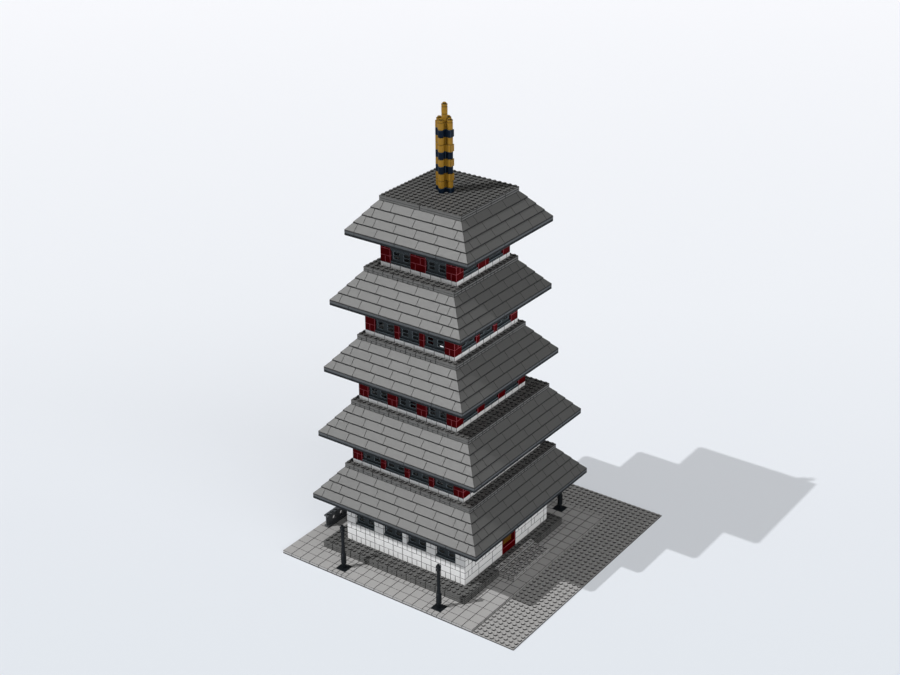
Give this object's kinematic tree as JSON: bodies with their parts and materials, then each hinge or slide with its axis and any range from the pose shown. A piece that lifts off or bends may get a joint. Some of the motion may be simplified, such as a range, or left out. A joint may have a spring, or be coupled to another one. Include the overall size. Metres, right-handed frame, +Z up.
{
  "type": "brick-built model of a five-storey pagoda",
  "caption": "Toy-brick model of a tiered pagoda on a square studded base: hipped grey roofs, lattice windows, hinged door, gold finial, lamp posts.",
  "frame": {"origin": "centre of the baseplate's underside", "axes": "+Z up, +X towards the side with the door, +Y towards the back"},
  "size_m": [0.384, 0.384, 0.6369],
  "materials": {
    "light_grey_plastic": "smooth moulded toy-brick plastic",
    "dark_grey_plastic": "smooth moulded toy-brick plastic",
    "roof_grey_plastic": "smooth moulded toy-brick plastic, fine grain on the slopes",
    "slate_plastic": "smooth moulded toy-brick plastic",
    "white_plastic": "smooth moulded toy-brick plastic",
    "red_plastic": "smooth moulded toy-brick plastic",
    "brown_plastic": "smooth moulded toy-brick plastic",
    "gold_plastic": "pearl gold moulded plastic"
  },
  "bodies": {
    "tower": {"baseplate": "light_grey_plastic", "paving": "light_grey_plastic", "entrance_steps": "light_grey_plastic", "plinth": "dark_grey_plastic", "front_wall": "white_plastic", "back_wall": "white_plastic", "left_wall": "white_plastic", "right_wall_front": "white_plastic", "right_wall_back": "white_plastic", "wall_plate": "white_plastic", "ground_windows_front": "slate_plastic", "ground_windows_back": "slate_plastic", "ground_windows_left": "slate_plastic", "ground_windows_right_front": "slate_plastic", "ground_windows_right_back": "slate_plastic", "door_frame": "red_plastic", "eave_plate_1": "slate_plastic", "eave_plate_2": "slate_plastic", "eave_plate_3": "slate_plastic", "eave_plate_4": "slate_plastic", "eave_plate_5": "slate_plastic", "roof_1": "roof_grey_plastic", "roof_2": "roof_grey_plastic", "roof_3": "roof_grey_plastic", "roof_4": "roof_grey_plastic", "roof_5": "roof_grey_plastic", "ledge_1": "dark_grey_plastic", "ledge_2": "dark_grey_plastic", "ledge_3": "dark_grey_plastic", "ledge_4": "dark_grey_plastic", "roof_deck": "dark_grey_plastic", "storey_2_wall": "red_plastic", "storey_3_wall": "red_plastic", "storey_4_wall": "red_plastic", "storey_5_wall": "red_plastic", "storey_2_windows": "slate_plastic", "storey_3_windows": "slate_plastic", "storey_4_windows": "slate_plastic", "storey_5_windows": "slate_plastic", "finial_column_front": "gold_plastic", "finial_column_back": "gold_plastic", "finial_column_left": "gold_plastic", "finial_column_right": "gold_plastic", "finial_spire": "gold_plastic", "lamp_post_1": "slate_plastic", "lamp_post_2": "slate_plastic", "lamp_post_3": "slate_plastic", "lamp_post_4": "slate_plastic", "lattice_fence": "slate_plastic"},
    "door": {"door_leaf": "brown_plastic"}
  },
  "joints": [
    {"name": "door_hinge", "type": "hinge", "parent": "tower", "child": "door", "pos_m": [0.066, -0.0121, 0.0243], "axis": [0, 0, 1], "range_deg": [0, 90]}
  ]
}
